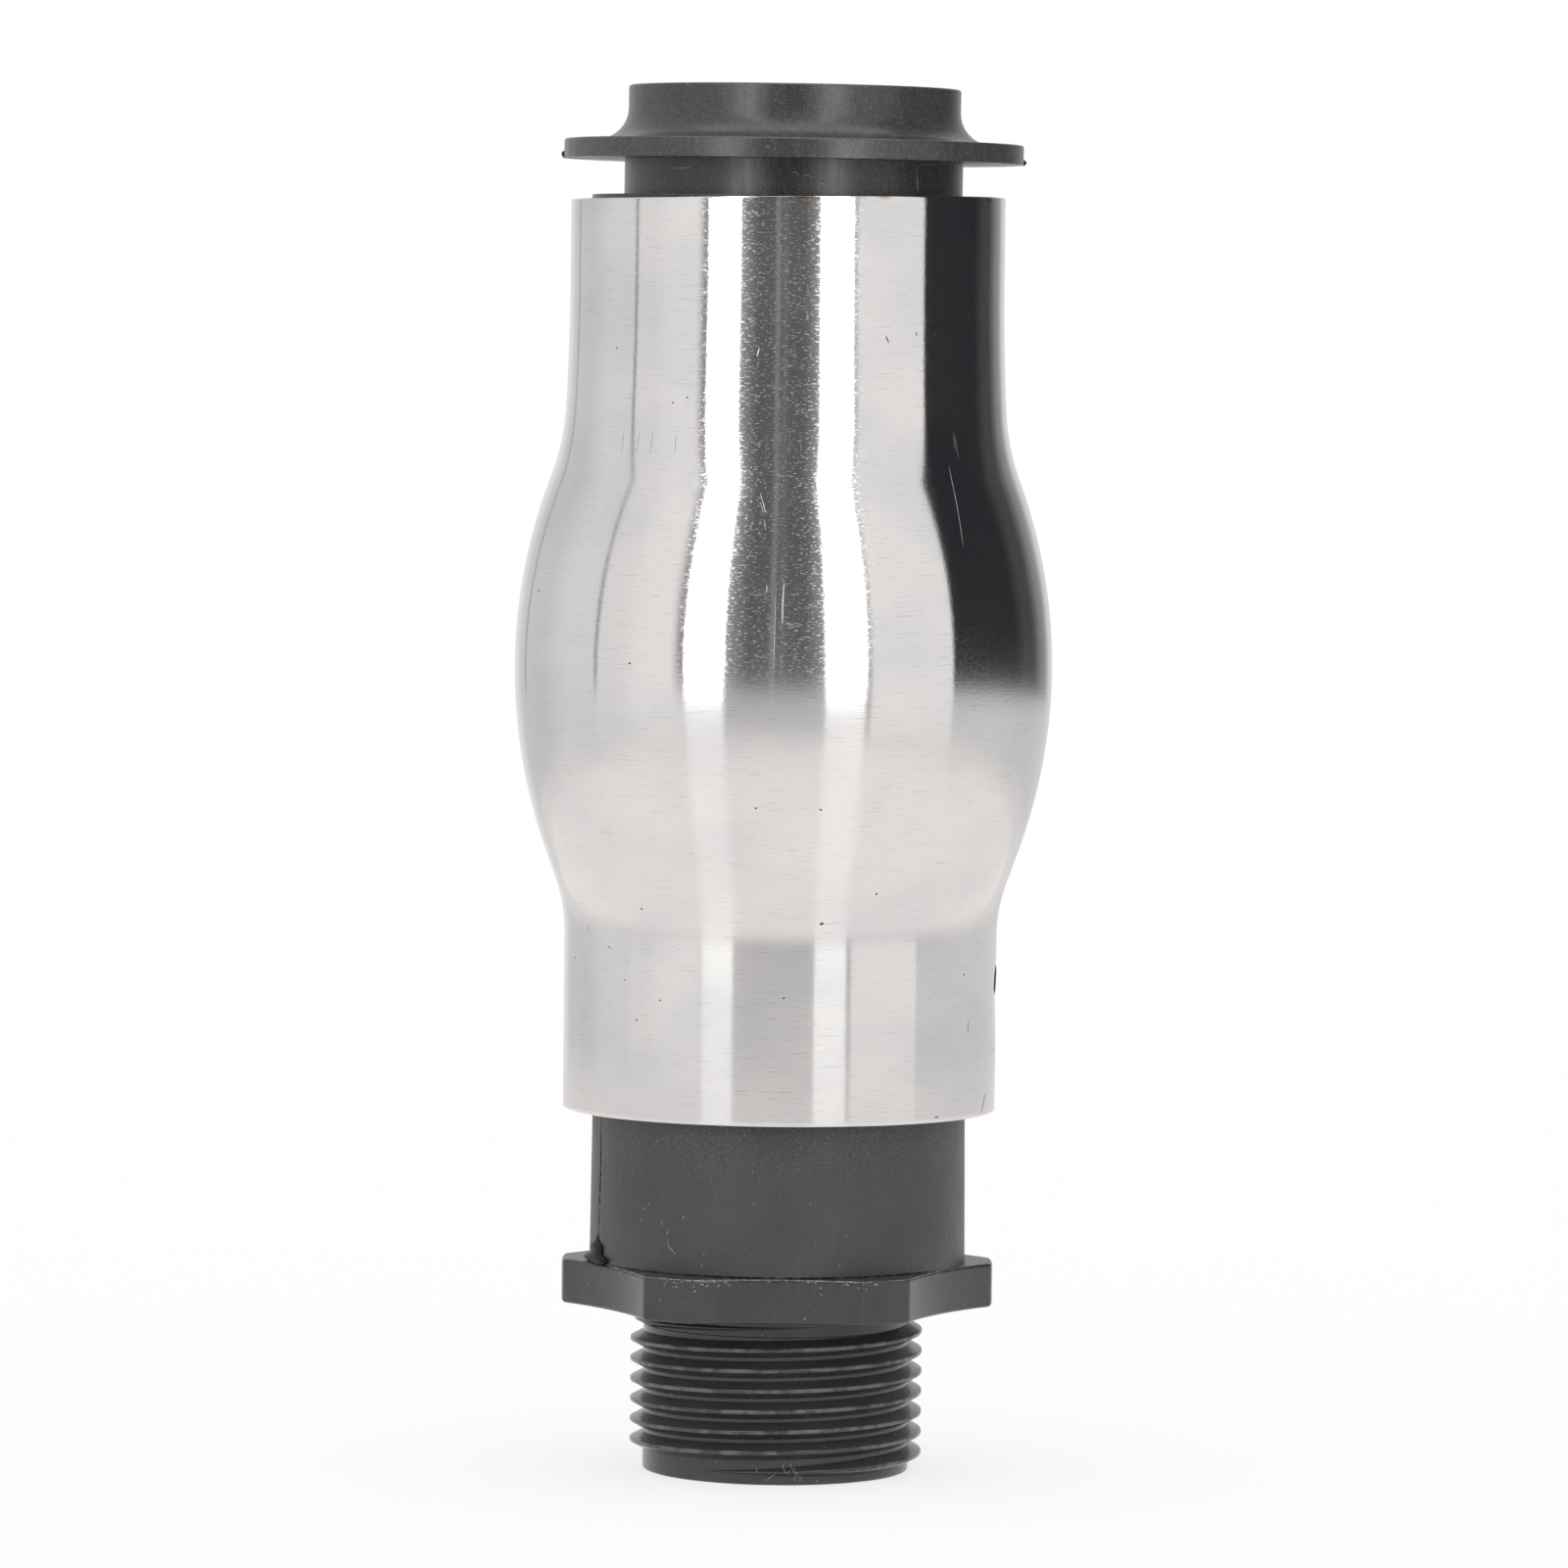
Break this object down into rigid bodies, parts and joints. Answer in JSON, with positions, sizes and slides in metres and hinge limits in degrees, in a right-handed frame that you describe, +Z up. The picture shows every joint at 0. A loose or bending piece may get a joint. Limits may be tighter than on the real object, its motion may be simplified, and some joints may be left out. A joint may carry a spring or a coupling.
{
  "type": "fountain nozzle",
  "caption": "Frothing-jet fountain nozzle: threaded plastic base with a lobed wrench flange, bulged steel sleeve, and a wide-skirted plastic outlet collar over an air gap.",
  "frame": {"origin": "centre of the thread's lower end face, which the nozzle stands on", "axes": "+Z up the nozzle's axis towards the outlet, -Y the side that the picture shows, +X to the right of it"},
  "size_m": [0.061, 0.061, 0.1572],
  "materials": {
    "black_plastic": "moulded, satin, dusty",
    "polished_steel": "polished, finely brushed round the axis",
    "black_rubber": "smooth",
    "screw_steel": "bright"
  },
  "bodies": {
    "root": {"threaded_base": "black_plastic", "steel_sleeve": "polished_steel", "outlet_collar": "black_plastic", "jet_plate": "black_plastic", "jet_plate_seal": "black_rubber", "jet_plate_screws": "screw_steel", "sleeve_seal": "black_rubber"}
  },
  "joints": []
}
